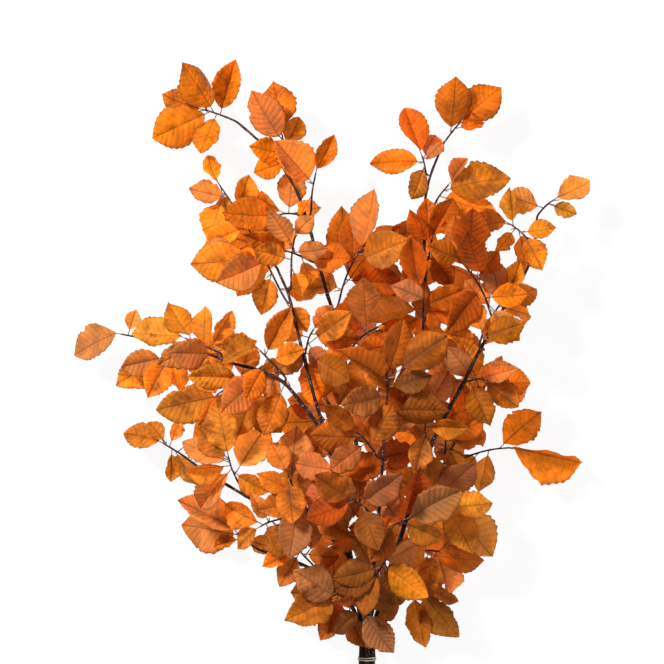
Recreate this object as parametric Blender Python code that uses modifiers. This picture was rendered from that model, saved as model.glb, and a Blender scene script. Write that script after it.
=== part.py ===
"""A bunch of seven cut beech branches, tied twice round the stems and laid down on its side.

Frame: +Y runs from the cut ends to the leaf tips, +X to the right and +Z up. The origin is on the
surface that the bunch lies on, at the middle of its footprint. The tables below are in millimetres:
x to the right of the tied stems, y along the bunch from a place between the ties, z above the surface.

Each branch is a woody stem with leafy shoots. A shoot is one solid: a twig with the stalks and blades
of its leaves. A blade is a thin plate folded along its midrib, a seven-cornered outline round one
middle point. Twigs and leaves turn a little, by a seeded draw, until they are clear of what is already
in place, and a blade that would go through the surface lies flat on it.
"""

import math
import random

import bmesh
import bpy
from mathutils import Matrix, Vector
from mathutils.bvhtree import BVHTree

MM = 0.001
SEED = 11

# Wood, in millimetres
STEM_BASE_RADIUS = 3.7
STEM_TIP_RADIUS = 1.5
FORK_BASE_RADIUS = 2.5
TWIG_BASE_RADIUS = 1.35
TWIG_TIP_RADIUS = 0.95
STEM_STATIONS = 15  # points along a stem
TWIG_STATIONS = 5
CUT_ENDS = -84.0  # along the bunch
FIT_GAP = 0.3  # between pieces that touch

# Ties
TIE_RADIUS = 0.9
TIES = {"lower_tie": -16.0, "upper_tie": 12.0}  # along the bunch
TIE_STATIONS = 24

# Leaves
BLADE_THICKNESS = 0.5
STALK_LENGTH = 8.0
STALK_WIDTH = 1.1
BLADE_WIDTH = 0.77  # of its length
LOWER_CORNERS = (0.24, 0.42)  # along the blade, out from the midrib, as shares of its length and width
UPPER_CORNERS = (0.66, 0.43)
BLADE_MIDDLE = 0.46
FOLDED_SHARE = 0.17  # of the leaves, half closed along the midrib
CLEARANCE = 1.1  # kept on each side of a blade while placing it
LEAF_TRIES = 90
TWIG_TRIES = 40

# The crown: discs (x, y, radius) where leaves fill the gaps between the others.
CROWN = [(68, 462, 88), (30, 330, 116), (6, 190, 124), (8, 104, 74), (-160, 292, 58), (-190, 350, 46),
         (-162, 522, 46), (108, 306, 50), (74, 130, 66), (-96, 276, 34)]
CROWN_CELL = 8.0
CROWN_ROUNDS = 10
CROWN_TRIES = 60
CROWN_LEAF = (46.0, 66.0)
CROWN_STALK = (9.0, 24.0)
LEAST_GAIN = 5.0  # what a leaf has to add, in cells
SECOND_LAYER = 0.25  # what it adds over a cell that has one leaf
LEAF_COUNT = 400
STALK_SPACING = 3.4
STALK_FREE = 3.0  # from the twig's axis to where stalks keep clear of one another
LEAST_TWIG = 48.0
ELBOW = 4.2  # how far a twig stands straight out of the bark
MOST_TWIG_SETBACK = 45.0
LEAST_FORK_ANGLE = math.radians(38)  # between a stalk and its twig

# Where each stem leaves the bundle: seven stems packed as a hexagon round a middle one.
BUNDLE_PLACES = {
    "centre": 90.0,
    "right": 30.0,
    "low_right": -30.0,
    "tall_right": -90.0,
    "low_left": -150.0,
    "front_left": 150.0,
    "tall_left": None,
}

# The stems' routes above the upper tie (x, y, z).
STEMS = {
    "tall_left": [(-5, 114, 22), (-12, 250, 42), (-31, 384, 55), (-60, 464, 60), (-75, 545, 62),
                  (-112, 607, 60), (-156, 641, 54)],
    "front_left": [(-12, 70, 36), (-29, 162, 82), (-43, 240, 108), (-67, 318, 114), (-85, 390, 108),
                   (-94, 436, 98), (-108, 462, 92)],
    "low_left": [(-20, 56, 26), (-45, 86, 42), (-77, 103, 44), (-107, 112, 36), (-129, 118, 28)],
    "tall_right": [(23, 114, 20), (41, 210, 36), (59, 306, 50), (71, 402, 58), (70, 486, 60),
                   (66, 542, 60), (74, 580, 58), (89, 610, 56)],
    "right": [(22, 78, 44), (43, 150, 74), (58, 200, 92), (71, 250, 102), (100, 300, 104),
              (131, 360, 98), (162, 420, 88), (188, 450, 80), (205, 486, 74), (205, 524, 68)],
    "low_right": [(34, 78, 22), (56, 140, 40), (74, 190, 56), (95, 232, 64), (110, 262, 66)],
    "centre": [(4, 66, 52), (12, 162, 112), (17, 246, 140), (20, 290, 146)],
}

# Forks: the stem that each grows from, how far along it, and its route.
FORKS = {
    "left": ("front_left", 0.62, [(-101, 334, 112), (-127, 342, 104), (-161, 348, 96), (-202, 366, 84),
                                  (-240, 377, 70), (-270, 380, 60)]),
    "mid_left": ("front_left", 0.33, [(-67, 164, 84), (-115, 171, 78), (-155, 193, 66), (-199, 217, 52),
                                      (-222, 234, 44)]),
}

# Shoots: where each twig ends (x, y, z), and the bearing (0 is right, 90 is up the bunch) and length
# of each leaf. The first shoot of a stem or fork carries on from its end.
SHOOTS = {
    "tall_left": [
        ((-200, 659, 50), [(250, 46), (205, 70), (160, 50), (122, 62), (72, 60), (140, 40)]),
        ((-104, 628, 62), [(118, 64), (96, 60), (168, 40), (205, 38), (64, 40)]),
        ((-63, 580, 64), [(127, 62), (62, 46), (240, 24)]),
        ((-108, 530, 62), [(32, 42), (84, 48), (158, 52), (180, 62), (205, 42)]),
        ((-113, 488, 60), [(155, 62), (188, 62), (290, 38), (12, 56), (169, 70), (120, 40)]),
        ((-10, 486, 66), [(99, 74), (76, 70), (88, 50), (-3, 62), (167, 48)]),
        ((12, 394, 84), [(92, 58), (170, 48), (-12, 46), (225, 48), (50, 50)]),
        ((-50, 304, 62), [(100, 50), (170, 46), (20, 46), (250, 44), (60, 46)]),
    ],
    "front_left": [
        ((-146, 480, 86), [(186, 66), (204, 66), (168, 50), (196, 40)]),
        ((-88, 500, 96), [(165, 40), (10, 36), (-60, 30), (130, 42), (45, 30)]),
        ((-178, 573, 62), [(165, 40), (205, 50), (70, 38), (15, 50), (-8, 50), (240, 50), (255, 44),
                           (300, 34), (110, 32)]),
        ((-66, 390, 74), [(-8, 50), (160, 44), (215, 40), (40, 40), (-60, 42)]),
        ((-36, 226, 124), [(10, 52), (80, 50), (300, 48), (170, 46), (230, 46)]),
    ],
    "left": [
        ((-300, 385, 54), [(207, 60), (70, 26)]),
        ((-220, 380, 78), [(130, 50), (172, 58), (56, 44), (208, 46), (92, 42), (16, 42)]),
        ((-252, 354, 50), [(210, 58), (188, 46), (243, 50), (-35, 38), (278, 40)]),
        ((-134, 360, 104), [(66, 56), (15, 40), (200, 44), (265, 40)]),
        ((-182, 312, 66), [(190, 70), (120, 46), (75, 48), (30, 42), (240, 46)]),
    ],
    "mid_left": [
        ((-250, 251, 38), [(166, 46), (70, 28), (268, 32), (290, 56), (128, 28)]),
        ((-168, 238, 84), [(104, 66), (160, 58), (182, 50), (232, 62), (-35, 40), (138, 46)]),
        ((-96, 218, 104), [(84, 64), (155, 44), (187, 44), (120, 40), (-80, 40)]),
        ((-130, 152, 70), [(157, 46), (225, 34), (120, 36), (-36, 46), (285, 38)]),
    ],
    "low_left": [
        ((-160, 140, 24), [(158, 76), (172, 74), (200, 30), (-12, 38)]),
        ((-88, 130, 62), [(208, 40), (160, 36), (75, 44), (0, 36), (240, 40)]),
        ((-40, 70, 76), [(147, 60), (183, 52), (97, 52), (200, 62), (255, 44), (60, 46)]),
        ((-38, 50, 14), [(190, 54), (240, 38), (308, 44), (150, 48)]),
    ],
    "tall_right": [
        ((112, 642, 54), [(235, 32), (14, 30), (44, 62), (88, 60)]),
        ((66, 602, 60), [(104, 62), (176, 56), (252, 40), (52, 50)]),
        ((98, 566, 66), [(11, 72), (-20, 62), (-47, 46), (60, 36)]),
        ((78, 500, 70), [(122, 44), (60, 50), (220, 42), (-55, 40), (100, 46), (10, 46)]),
        ((46, 440, 40), [(145, 58), (200, 42), (105, 48), (178, 46), (60, 44), (-30, 44)]),
        ((66, 424, 110), [(158, 40), (211, 50), (-11, 58), (300, 42), (254, 46), (20, 46)]),
    ],
    "right": [
        ((226, 548, 60), [(23, 46), (-16, 28), (162, 42)]),
        ((172, 518, 74), [(92, 40), (195, 52), (0, 34), (-60, 44), (235, 30), (-78, 46)]),
        ((164, 428, 84), [(64, 46), (18, 50), (-16, 42), (98, 48), (250, 38)]),
        ((112, 470, 110), [(225, 62), (103, 62), (50, 34), (160, 44), (-50, 46), (0, 42)]),
        ((136, 384, 104), [(15, 48), (121, 44), (-15, 36), (165, 42), (-62, 42)]),
        ((140, 330, 80), [(-4, 52), (18, 42), (280, 36), (130, 42), (-40, 46)]),
        ((66, 300, 116), [(120, 50), (60, 48), (180, 46), (250, 44), (0, 44)]),
    ],
    "low_right": [
        ((142, 322, 62), [(12, 60), (-68, 36), (60, 36), (130, 36)]),
        ((92, 266, 86), [(33, 54), (8, 42), (48, 60), (-62, 42), (100, 40)]),
        ((174, 246, 44), [(34, 62), (-15, 90), (-105, 48), (225, 40), (186, 42)]),
        ((98, 178, 78), [(-44, 82), (208, 48), (255, 46), (-62, 62), (5, 48)]),
        ((92, 118, 40), [(-66, 60), (-30, 32), (250, 46), (-96, 52), (35, 46)]),
        ((74, 70, 34), [(278, 60), (-46, 62), (-14, 36), (190, 44), (150, 46)]),
    ],
    "centre": [
        ((23, 338, 150), [(143, 62), (73, 60), (20, 46), (190, 48)]),
        ((-14, 270, 146), [(172, 52), (135, 44), (60, 50), (215, 46)]),
        ((-20, 190, 132), [(145, 46), (42, 56), (200, 52), (-70, 48), (95, 50)]),
        ((46, 166, 120), [(70, 60), (30, 66), (183, 46), (124, 42), (-20, 48), (232, 46)]),
        ((20, 112, 98), [(208, 58), (190, 50), (-40, 58), (-66, 52), (20, 46), (250, 48)]),
        ((-10, 58, 66), [(215, 38), (-48, 54), (-62, 46), (150, 42), (70, 46), (20, 46)]),
    ],
}


# ---------------------------------------------------------------- routes

def rounded(points, count):
    """count points, evenly spaced along a polyline whose corners are cut until it is a smooth curve."""
    for _ in range(4):
        cut = [points[0]]
        for a, b in zip(points, points[1:]):
            cut += [a.lerp(b, 0.25), a.lerp(b, 0.75)]
        points = [*cut, points[-1]]
    return resampled(points, count)


def resampled(points, count):
    """count points at equal steps along a polyline."""
    reached = [0.0]
    for a, b in zip(points, points[1:]):
        reached.append(reached[-1] + (b - a).length)
    found, i = [], 0
    for k in range(count):
        want = reached[-1] * k / (count - 1)
        while i < len(points) - 2 and reached[i + 1] < want:
            i += 1
        share = (want - reached[i]) / max(reached[i + 1] - reached[i], 1e-9)
        found.append(points[i].lerp(points[i + 1], min(share, 1.0)))
    return found


class Limb:
    """A tapering length of wood: a stem, a fork or a twig."""

    def __init__(self, points, base_radius, tip_radius):
        self.points = points
        self.base_radius, self.tip_radius = base_radius, tip_radius
        self.length = sum((b - a).length for a, b in zip(points, points[1:]))

    def at(self, share):
        """(point, direction, radius) that share of the way along."""
        place = min(max(share, 0.0), 1.0) * (len(self.points) - 1)
        i = min(int(place), len(self.points) - 2)
        a, b = self.points[i], self.points[i + 1]
        return a.lerp(b, place - i), (b - a).normalized(), self.radius(share)

    def radius(self, share):
        return self.base_radius + (self.tip_radius - self.base_radius) * share

    def radii(self):
        last = len(self.points) - 1
        return [self.radius(i / last) for i in range(last + 1)]

    def share_nearest(self, point):
        last = len(self.points) - 1
        return min(range(last + 1), key=lambda i: (self.points[i] - point).length) / last


def bundle_place(name, along):
    """Where a stem stands in the bundle, that far along it."""
    turn = BUNDLE_PLACES[name]
    pitch = 2 * STEM_BASE_RADIUS + FIT_GAP
    axis_height = 2 * TIE_RADIUS + FIT_GAP + pitch + STEM_BASE_RADIUS
    if turn is None:
        return Vector((0, along, axis_height))
    # Below the ties the cut ends spread a little, and the lowest reach the surface.
    spread = pitch * (1 + 0.0016 * max(TIES["lower_tie"] - along, 0.0))
    turn = math.radians(turn)
    return Vector((spread * math.cos(turn), along, axis_height + spread * math.sin(turn)))


def stem_limb(name):
    tied = [bundle_place(name, along) for along in (CUT_ENDS, TIES["lower_tie"] - 3, TIES["upper_tie"] + 5)]
    free = rounded([tied[-1], *map(Vector, STEMS[name])], STEM_STATIONS - 2)
    return Limb([*tied, *free[1:]], STEM_BASE_RADIUS, STEM_TIP_RADIUS)


def fork_limb(name, limbs):
    parent, share, route = FORKS[name]
    start = limbs[parent].at(share)[0]
    points = rounded([start, *map(Vector, route)], STEM_STATIONS - 5)
    return Limb(points, FORK_BASE_RADIUS, STEM_TIP_RADIUS)


def twig_limb(parent, tip, carries_on, least):
    """A twig from the parent's bark to tip, first straight out of the bark and then in an arc."""
    if carries_on:
        start, heading, _ = parent.at(1.0)
        start = start + heading * FIT_GAP
        elbow = start + heading * ELBOW
    else:
        nearest = parent.share_nearest(tip)
        reach = (parent.at(nearest)[0] - tip).length
        back = max(min(0.7 * reach, MOST_TWIG_SETBACK), least - 0.5 * reach)
        share = max(nearest - back / parent.length, 0.12)
        axis_point, heading, radius = parent.at(share)
        out = tip - axis_point
        out = (out - heading * out.dot(heading)).normalized()
        start = axis_point + out * (radius + FIT_GAP)
        elbow = start + out * ELBOW + heading * 1.0
    bend = (elbow + tip) / 2 + heading * 0.12 * (tip - elbow).length
    points = [start, *rounded([elbow, bend, tip], TWIG_STATIONS - 1)]
    return Limb(points, TWIG_BASE_RADIUS, TWIG_TIP_RADIUS)


# ---------------------------------------------------------------- room for each piece

class Room:
    """What is already in place, for testing whether a new surface is clear of it."""

    def __init__(self):
        self.pieces = []

    def add(self, owner, surface):
        self.pieces.append((owner, *surface))

    def clear(self, surface, ignore=()):
        tree, centre, radius = surface
        return not any(
            owner not in ignore
            and (centre - other_centre).length < radius + other_radius
            and tree.overlap(other_tree)
            for owner, other_tree, other_centre, other_radius in self.pieces
        )


def surface_of(points, faces):
    centre = sum(points, Vector()) / len(points)
    radius = max((p - centre).length for p in points)
    return BVHTree.FromPolygons(points, faces), centre, radius


def tube_surface(points, radii, sides=6):
    corners, faces = [], []
    for i, point in enumerate(points):
        along = (points[min(i + 1, len(points) - 1)] - points[max(i - 1, 0)]).normalized()
        side = along.orthogonal().normalized()
        for k in range(sides):
            corners.append(point + Matrix.Rotation(math.tau * k / sides, 3, along) @ side * radii[i])
    for i in range(len(points) - 1):
        for k in range(sides):
            a, b = i * sides + k, i * sides + (k + 1) % sides
            faces.append((a, b, b + sides, a + sides))
    return surface_of(corners, faces)


def limb_surface(limb, skip=0):
    """The limb's bark with the clearance round it, without its first stations."""
    return tube_surface(limb.points[skip:], [r + CLEARANCE for r in limb.radii()[skip:]])


# ---------------------------------------------------------------- leaves

class Leaf:
    """A stalk and a blade: the root on the twig's axis, the blade's base, its outline and its middle."""

    def __init__(self, root, stalk, along, face, length, fold, curl):
        self.root, self.base = root, root + stalk
        self.along, self.across, self.face = along, face.cross(along).normalized(), face
        self.length, self.width = length, BLADE_WIDTH * length
        self.lean, self.rise = 1 / math.hypot(1, fold), fold / math.hypot(1, fold)
        self.curl = curl
        low_share, low_out = LOWER_CORNERS
        high_share, high_out = UPPER_CORNERS
        self.outline = [self.spot(low_share, -low_out), self.spot(high_share, -high_out), self.spot(1.0, 0.0),
                        self.spot(high_share, high_out), self.spot(low_share, low_out)]
        self.middle = self.spot(BLADE_MIDDLE, 0.0)
        if self.middle.z < BLADE_THICKNESS:
            self.middle.z = BLADE_THICKNESS + 0.5  # a pressed leaf keeps its midrib's ridge
        half = self.across * STALK_WIDTH / 2
        self.corners = [root - half, root + half, self.base - half, self.base + half,
                        *self.outline, self.middle]

    def spot(self, share, out):
        """The point a share of the way along the blade and a share of its width out from the midrib."""
        rise = abs(out) * self.width * self.rise - self.curl * self.length * share * share
        reach = out * self.width * self.lean
        spot = self.base + self.along * share * self.length + self.across * reach + self.face * rise
        return Vector((spot.x, spot.y, max(spot.z, BLADE_THICKNESS / 2)))

    # Corners: 0-1 stalk root, 2-3 blade base, 4-8 outline, 9 middle.
    STALK = [(0, 1, 3, 2)]
    BLADE = [(2, 3, 9), (2, 9, 4), (4, 9, 5), (5, 9, 6), (6, 9, 7), (7, 9, 8), (8, 9, 3)]

    def blade_surface(self):
        """Both sides of the blade, each a clearance away from it."""
        ring = [self.base, *self.outline]
        normal = (self.outline[0] - self.middle).cross(self.outline[2] - self.middle).normalized()
        lift = normal * (CLEARANCE + BLADE_THICKNESS / 2)
        points = [p + side * lift for side in (1, -1) for p in [*ring, self.middle]]
        count = len(ring)
        faces = []
        for offset in (0, count + 1):
            faces += [(offset + k, offset + (k + 1) % count, offset + count) for k in range(count)]
        faces += [(k, (k + 1) % count, (k + 1) % count + count + 1, k + count + 1) for k in range(count)]
        return surface_of(points, faces)

    def stalk_surface(self):
        start = self.root + (self.base - self.root).normalized() * STALK_FREE
        return tube_surface([start, self.base], [STALK_WIDTH / 2 + 0.4 * CLEARANCE] * 2, 4)


def direction(bearing, pitch):
    """A unit vector, from a bearing and a pitch above level in degrees."""
    bearing, pitch = math.radians(bearing), math.radians(pitch)
    return Vector((math.cos(bearing) * math.cos(pitch), math.sin(bearing) * math.cos(pitch), math.sin(pitch)))


def stalk_along(heading, twig_heading):
    """heading, turned away from the twig where it would run along it."""
    angle = heading.angle(twig_heading)
    if angle > LEAST_FORK_ANGLE:
        return heading
    side = heading - twig_heading * heading.dot(twig_heading)
    side = side.normalized() if side.length > 1e-3 else twig_heading.orthogonal().normalized()
    return twig_heading * math.cos(LEAST_FORK_ANGLE) + side * math.sin(LEAST_FORK_ANGLE)


def drawn_leaf(draw, root, stalk_length, twig_heading, bearing, length, last, play):
    """A leaf near a bearing, turned and tilted by a draw that widens with play."""
    heading = direction(bearing + draw.uniform(-1, 1) * (5 + 34 * play),
                        draw.uniform(-1, 1) * (22 + 42 * play))
    face = (Vector((0, 0, 1)) - heading * heading.z).normalized()
    roll = math.radians(draw.uniform(-1, 1) * (36 + 34 * play))
    face = Matrix.Rotation(roll, 3, heading) @ face
    along_stalk = twig_heading if last else stalk_along(heading, twig_heading)
    fold = draw.uniform(0.65, 1.1) if draw.random() < FOLDED_SHARE else draw.uniform(0.02, 0.4)
    curl = draw.uniform(-0.1, 0.2)
    return Leaf(root, along_stalk * stalk_length, heading, face, length * (1 - 0.25 * play), fold, curl)


def has_room(leaf, name, room):
    if leaf.base.z < 1.5 or not room.clear(leaf.blade_surface()):
        return False
    return room.clear(leaf.stalk_surface(), ignore=(name + "_wood",))


class Shoot:
    """A twig with the places where stalks can grow from it, from its tip down."""

    def __init__(self, name, twig, plan):
        self.name, self.twig = name, twig
        _, heading, _ = twig.at(1.0)
        twig_bearing = math.degrees(math.atan2(heading.y, heading.x))
        self.plan = sorted(plan, key=lambda leaf: abs((leaf[0] - twig_bearing + 180) % 360 - 180))
        count = int((twig.length - 5.0) / STALK_SPACING)
        self.free = [1.0] + [1.0 - (k * STALK_SPACING + 0.5) / twig.length for k in range(1, count)]
        self.leaves = []

    def keep(self, leaf, share, room):
        room.add(self.name, leaf.blade_surface())
        room.add(self.name, leaf.stalk_surface())
        self.free.remove(share)
        self.leaves.append(leaf)

    def grow_plan(self, draw, room):
        """The planned leaves, those that turn off most sharply lowest on the twig."""
        stride = max(len(self.free) // (len(self.plan) + 1), 1)
        places = self.free[::stride][: len(self.plan)]
        for share, (bearing, length) in zip(places, self.plan):
            root, heading, _ = self.twig.at(share)
            last = share == 1.0
            if last:
                root = root - heading * 2.0
            for attempt in range(LEAF_TRIES):
                play = attempt / LEAF_TRIES
                leaf = drawn_leaf(draw, root, STALK_LENGTH, heading, bearing, length, last, play)
                if has_room(leaf, self.name, room):
                    self.keep(leaf, share, room)
                    break

    def grow_into(self, draw, canopy, room):
        """One leaf more, the one of several draws that fills most of the crown's gaps."""
        best, most = None, LEAST_GAIN
        for _ in range(CROWN_TRIES):
            shares = [share for share in self.free if share < 1.0]
            if not shares:
                return
            share = draw.choice(shares)
            root, heading, _ = self.twig.at(share)
            leaf = drawn_leaf(draw, root, draw.uniform(*CROWN_STALK), heading, draw.uniform(0, 360),
                              draw.uniform(*CROWN_LEAF), False, 0.3)
            gain = canopy.gain(leaf)
            if gain > most and has_room(leaf, self.name, room):
                best, most = (leaf, share), gain
        if best:
            self.keep(*best, room)
            canopy.cover(best[0])


class Canopy:
    """How many leaves lie over each cell of the crown, seen from above."""

    def __init__(self):
        self.layers = {}
        for x, y, radius in CROWN:
            reach = int(radius / CROWN_CELL) + 1
            middle = (round(x / CROWN_CELL), round(y / CROWN_CELL))
            for i in range(-reach, reach + 1):
                for j in range(-reach, reach + 1):
                    if math.hypot(i, j) * CROWN_CELL <= radius:
                        self.layers[middle[0] + i, middle[1] + j] = 0

    def cells(self, leaf):
        """The cells whose middle is under the leaf's outline."""
        ring = [(p.x / CROWN_CELL, p.y / CROWN_CELL) for p in (leaf.base, *leaf.outline)]
        xs, ys = [x for x, _ in ring], [y for _, y in ring]
        for i in range(math.ceil(min(xs)), math.floor(max(xs)) + 1):
            for j in range(math.ceil(min(ys)), math.floor(max(ys)) + 1):
                inside = False
                for (ax, ay), (bx, by) in zip(ring, ring[1:] + ring[:1]):
                    if (ay > j) != (by > j) and i < ax + (bx - ax) * (j - ay) / (by - ay):
                        inside = not inside
                if inside:
                    yield i, j

    def gain(self, leaf):
        """What the leaf adds: a bare cell counts most, and one outside the crown counts against it."""
        worth = {0: 1.0, 1: SECOND_LAYER, None: -2.0}
        return sum(worth.get(self.layers.get(cell), 0.0) for cell in self.cells(leaf))

    def cover(self, leaf):
        for cell in self.cells(leaf):
            if cell in self.layers:
                self.layers[cell] += 1

    def bare(self):
        return sum(count == 0 for count in self.layers.values()) / len(self.layers)


def grown_shoots(draw, twigs, room):
    """Every shoot with its leaves."""
    shoots = [Shoot(name, twig, plan) for name, (twig, plan) in twigs.items()]
    canopy = Canopy()
    for shoot in shoots:
        shoot.grow_plan(draw, room)
        for leaf in shoot.leaves:
            canopy.cover(leaf)
    for shoot in CROWN_ROUNDS * shoots:
        if sum(len(other.leaves) for other in shoots) < LEAF_COUNT:
            shoot.grow_into(draw, canopy, room)
    print(f"{canopy.bare():.1%} of the crown is bare")
    return shoots


def placed_twig(draw, parent_name, parent, tip, carries_on, leaf_count, room):
    """The first twig near the wanted tip that is clear of the other wood."""
    least = max(STALK_SPACING * (leaf_count + 3) + 6.0, LEAST_TWIG)
    for attempt in range(TWIG_TRIES):
        play = attempt * 0.5
        moved = tip + Vector((draw.uniform(-1, 1), draw.uniform(-1, 1), draw.uniform(-1, 1))) * play
        moved.z = max(moved.z, 4.0)
        twig = twig_limb(parent, moved, carries_on, least)
        whole = tube_surface(twig.points, [r + CLEARANCE for r in twig.radii()])
        if room.clear(whole, ignore=(parent_name,)) and room.clear(limb_surface(twig, 1)):
            return twig
    raise ValueError(f"no room for a twig of {parent_name} to {tuple(tip)}")


# ---------------------------------------------------------------- solids

def material(name, colour, roughness):
    made = bpy.data.materials.new(name)
    made.use_nodes = True
    shader = made.node_tree.nodes["Principled BSDF"]
    shader.inputs["Base Color"].default_value = (*colour, 1.0)
    shader.inputs["Roughness"].default_value = roughness
    return made


def tube_object(name, points, radii, sides_resolution, collection, cyclic=False):
    """A round bar along points, with its ends closed."""
    curve = bpy.data.curves.new(name, "CURVE")
    curve.dimensions = "3D"
    curve.bevel_depth = MM
    curve.bevel_resolution = sides_resolution
    curve.use_fill_caps = not cyclic
    spline = curve.splines.new("POLY")
    spline.points.add(len(points) - 1)
    spline.use_cyclic_u = cyclic
    for spot, point, radius in zip(spline.points, points, radii):
        spot.co = (*(point * MM), 1.0)
        spot.radius = radius
    made = bpy.data.objects.new(name, curve)
    collection.objects.link(made)
    return made


def as_mesh(curve_object):
    """A mesh object in place of a curve object, with its caps welded on."""
    bpy.context.view_layer.update()
    graph = bpy.context.evaluated_depsgraph_get()
    mesh = bpy.data.meshes.new_from_object(curve_object.evaluated_get(graph))
    shape = bmesh.new()
    shape.from_mesh(mesh)
    bmesh.ops.remove_doubles(shape, verts=shape.verts, dist=1e-6)
    bmesh.ops.recalc_face_normals(shape, faces=shape.faces)
    shape.to_mesh(mesh)
    shape.free()
    name, collection = curve_object.name, curve_object.users_collection[0]
    bpy.data.objects.remove(curve_object)
    made = bpy.data.objects.new(name, mesh)
    collection.objects.link(made)
    return made


def join(target, other):
    """target and other as one solid."""
    union = target.modifiers.new("join_" + other.name, "BOOLEAN")
    union.operation = "UNION"
    union.object = other
    union.use_self = True  # stalks may cross where they leave the twig
    other.hide_render = True
    other.display_type = "WIRE"


def leaves_object(name, leaves, collection):
    """The leaves' mid surfaces, thickened."""
    mesh = bpy.data.meshes.new(name)
    corners, faces = [], []
    for leaf in leaves:
        first = len(corners)
        corners += [corner * MM for corner in leaf.corners]
        faces += [tuple(first + i for i in face) for face in (*Leaf.STALK, *Leaf.BLADE)]
    mesh.from_pydata(corners, [], faces)
    made = bpy.data.objects.new(name, mesh)
    collection.objects.link(made)
    thick = made.modifiers.new("thickness", "SOLIDIFY")
    thick.thickness = BLADE_THICKNESS * MM
    thick.offset = 0.0
    return made


def tie_route(along):
    """Once round the bundle, a gap away from the stems' outline."""
    reach = 2 * STEM_BASE_RADIUS + FIT_GAP
    off = STEM_BASE_RADIUS + TIE_RADIUS + FIT_GAP
    middle = bundle_place("tall_left", along)
    points = []
    for k in range(TIE_STATIONS):
        turn = math.tau * k / TIE_STATIONS
        corner = math.radians(60) * round((turn - math.radians(30)) / math.radians(60)) + math.radians(30)
        out = Vector((math.cos(corner), 0, math.sin(corner))) * reach
        points.append(middle + out + Vector((math.cos(turn), 0, math.sin(turn))) * off)
    return points


def centre_origin(objects):
    """Moves everything so that the origin is under the middle of the footprint."""
    bpy.context.view_layer.update()
    graph = bpy.context.evaluated_depsgraph_get()
    low, high = Vector((9, 9, 9)), Vector((-9, -9, -9))
    for shown in objects:
        evaluated = shown.evaluated_get(graph)
        mesh = evaluated.to_mesh()
        for vertex in mesh.vertices:
            spot = evaluated.matrix_world @ vertex.co
            low = Vector(map(min, low, spot))
            high = Vector(map(max, high, spot))
        evaluated.to_mesh_clear()
    shift = Vector((-(low.x + high.x) / 2, -(low.y + high.y) / 2, -low.z))
    for every in bpy.data.objects:
        every.location += shift


def grown_bunch():
    """The limbs, by name, and the shoots with their leaves."""
    draw = random.Random(SEED)
    room = Room()
    limbs = {name: stem_limb(name) for name in STEMS}
    limbs |= {name: fork_limb(name, limbs) for name in FORKS}
    for name, limb in limbs.items():
        room.add(name, limb_surface(limb, 1 if name in FORKS else 0))
    twigs = {}
    for limb_name, shoots in SHOOTS.items():
        for k, (tip, plan) in enumerate(shoots):
            name = f"{limb_name}_shoot_{k + 1}"
            twig = placed_twig(draw, limb_name, limbs[limb_name], Vector(tip), k == 0, len(plan), room)
            room.add(name + "_wood", limb_surface(twig))
            twigs[name] = (twig, plan)
    return limbs, grown_shoots(draw, twigs, room)


def stem_object(name, limbs, bunch, helpers):
    """A stem, with any forks that grow from it as one solid."""
    stem = tube_object(f"{name}_stem", limbs[name].points, limbs[name].radii(), 2, bunch)
    forks = [fork for fork, (parent, _, _) in FORKS.items() if parent == name]
    if forks:
        stem = as_mesh(stem)
    for fork in forks:
        limb = limbs[fork]
        join(stem, as_mesh(tube_object(f"{fork}_fork", limb.points, limb.radii(), 1, helpers)))
    return stem


def shoot_object(shoot, bunch, helpers):
    """A twig and its leaves as one solid."""
    twig = as_mesh(tube_object(shoot.name, shoot.twig.points, shoot.twig.radii(), 1, bunch))
    join(twig, leaves_object(shoot.name + "_leaves", shoot.leaves, helpers))
    return twig


def main():
    for old in list(bpy.data.objects):
        bpy.data.objects.remove(old)
    bunch = bpy.data.collections.new("beech_bunch")
    helpers = bpy.data.collections.new("cutters")
    bpy.context.scene.collection.children.link(bunch)
    bpy.context.scene.collection.children.link(helpers)
    bark = material("bark", (0.06, 0.03, 0.022), 0.6)
    leaf_colour = material("leaf", (0.72, 0.22, 0.03), 0.55)
    tie_colour = material("tie", (0.55, 0.52, 0.36), 0.5)

    limbs, shoots = grown_bunch()
    for name in STEMS:
        stem_object(name, limbs, bunch, helpers).data.materials.append(bark)
    for shoot in shoots:
        shoot_object(shoot, bunch, helpers).data.materials.append(leaf_colour)
    for name, along in TIES.items():
        tie = tube_object(name, tie_route(along), [TIE_RADIUS] * TIE_STATIONS, 1, bunch, cyclic=True)
        tie.data.materials.append(tie_colour)
    centre_origin(bunch.objects)
    print(sum(len(shoot.leaves) for shoot in shoots), "leaves on", len(shoots), "shoots")


main()
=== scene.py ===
"""The look of a tied bunch of preserved beech branches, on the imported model.

The first half lays out the bunch as part.py does, with the same tables and the same seeded draws, because
the stems, twigs and leaves are made again here in detail. The second half makes them: blades with pleats
and veins, stalks, buds, bark, cut ends and ties. All of it is in millimetres, in the tables' own frame,
until a mesh is made, in metres, in the model's place.
"""

import math
import random

import bpy
from mathutils import Matrix, Vector
from mathutils.bvhtree import BVHTree


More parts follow.
